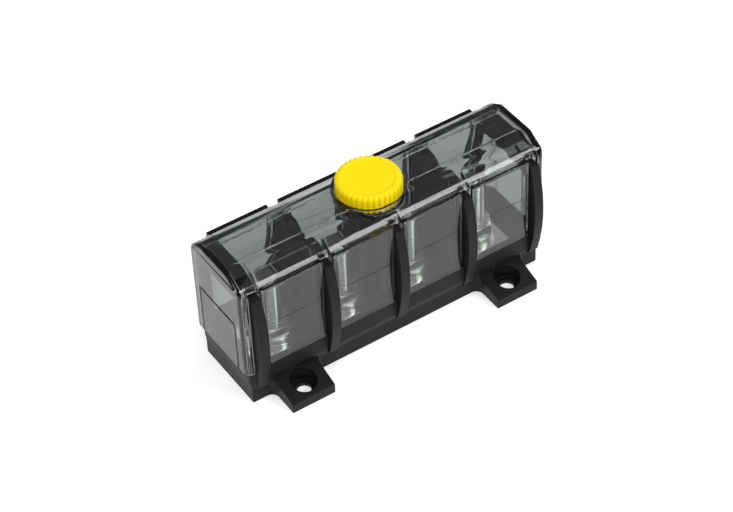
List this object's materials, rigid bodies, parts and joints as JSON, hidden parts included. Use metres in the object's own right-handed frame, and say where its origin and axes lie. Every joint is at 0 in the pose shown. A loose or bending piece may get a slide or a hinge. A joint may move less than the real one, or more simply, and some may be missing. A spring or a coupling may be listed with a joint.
{
  "type": "ground distribution block",
  "caption": "Ground distribution block: threaded studs on a common bar in walled bays, under a smoked clear cover clamped by a yellow thumb screw.",
  "frame": {"origin": "middle of the mounting face, midway along the row of studs", "axes": "+Z out of the mounting face towards the knob, +X along the row of studs, +Y across it"},
  "size_m": [0.1316, 0.058, 0.0648],
  "materials": {
    "black_plastic": "black moulded nylon with a fine grain",
    "smoked_clear": "smoked transparent polycarbonate, polished",
    "yellow_plastic": "bright yellow moulded plastic, satin",
    "zinc_steel": "bright zinc-plated steel",
    "dark_steel": "blackened spring steel",
    "tinned_copper": "tin-plated copper",
    "brass": "plain machined brass"
  },
  "bodies": {
    "base_assembly": {"base": "black_plastic", "bottom_plate": "black_plastic", "plate_screws": "zinc_steel", "busbar": "tinned_copper", "stud_1": "zinc_steel", "stud_2": "zinc_steel", "stud_3": "zinc_steel", "stud_4": "zinc_steel", "flat_washer_1": "zinc_steel", "flat_washer_2": "zinc_steel", "flat_washer_3": "zinc_steel", "flat_washer_4": "zinc_steel", "lock_washer_1": "zinc_steel", "lock_washer_2": "zinc_steel", "lock_washer_3": "zinc_steel", "lock_washer_4": "zinc_steel", "threaded_insert": "brass"},
    "cover_shell": {"cover": "smoked_clear"},
    "knob_assembly": {"knob": "yellow_plastic", "thumb_screw": "zinc_steel", "retaining_ring": "dark_steel"},
    "nut_1_body": {"nut_1": "zinc_steel"},
    "nut_2_body": {"nut_2": "zinc_steel"},
    "nut_3_body": {"nut_3": "zinc_steel"},
    "nut_4_body": {"nut_4": "zinc_steel"}
  },
  "joints": [
    {"name": "cover_lift", "type": "slide", "parent": "base_assembly", "child": "cover_shell", "axis": [0, 0, 1], "range_m": [0, 0.045]},
    {"name": "knob_turn", "type": "hinge", "parent": "cover_shell", "child": "knob_assembly", "pos_m": [0, 0, 0.06], "axis": [0, 0, 1], "continuous": true},
    {"name": "nut_1_turn", "type": "hinge", "parent": "base_assembly", "child": "nut_1_body", "pos_m": [-0.045, 0, 0.016], "axis": [0, 0, 1], "continuous": true},
    {"name": "nut_2_turn", "type": "hinge", "parent": "base_assembly", "child": "nut_2_body", "pos_m": [-0.015, 0, 0.016], "axis": [0, 0, 1], "continuous": true},
    {"name": "nut_3_turn", "type": "hinge", "parent": "base_assembly", "child": "nut_3_body", "pos_m": [0.015, 0, 0.016], "axis": [0, 0, 1], "continuous": true},
    {"name": "nut_4_turn", "type": "hinge", "parent": "base_assembly", "child": "nut_4_body", "pos_m": [0.045, 0, 0.016], "axis": [0, 0, 1], "continuous": true}
  ]
}
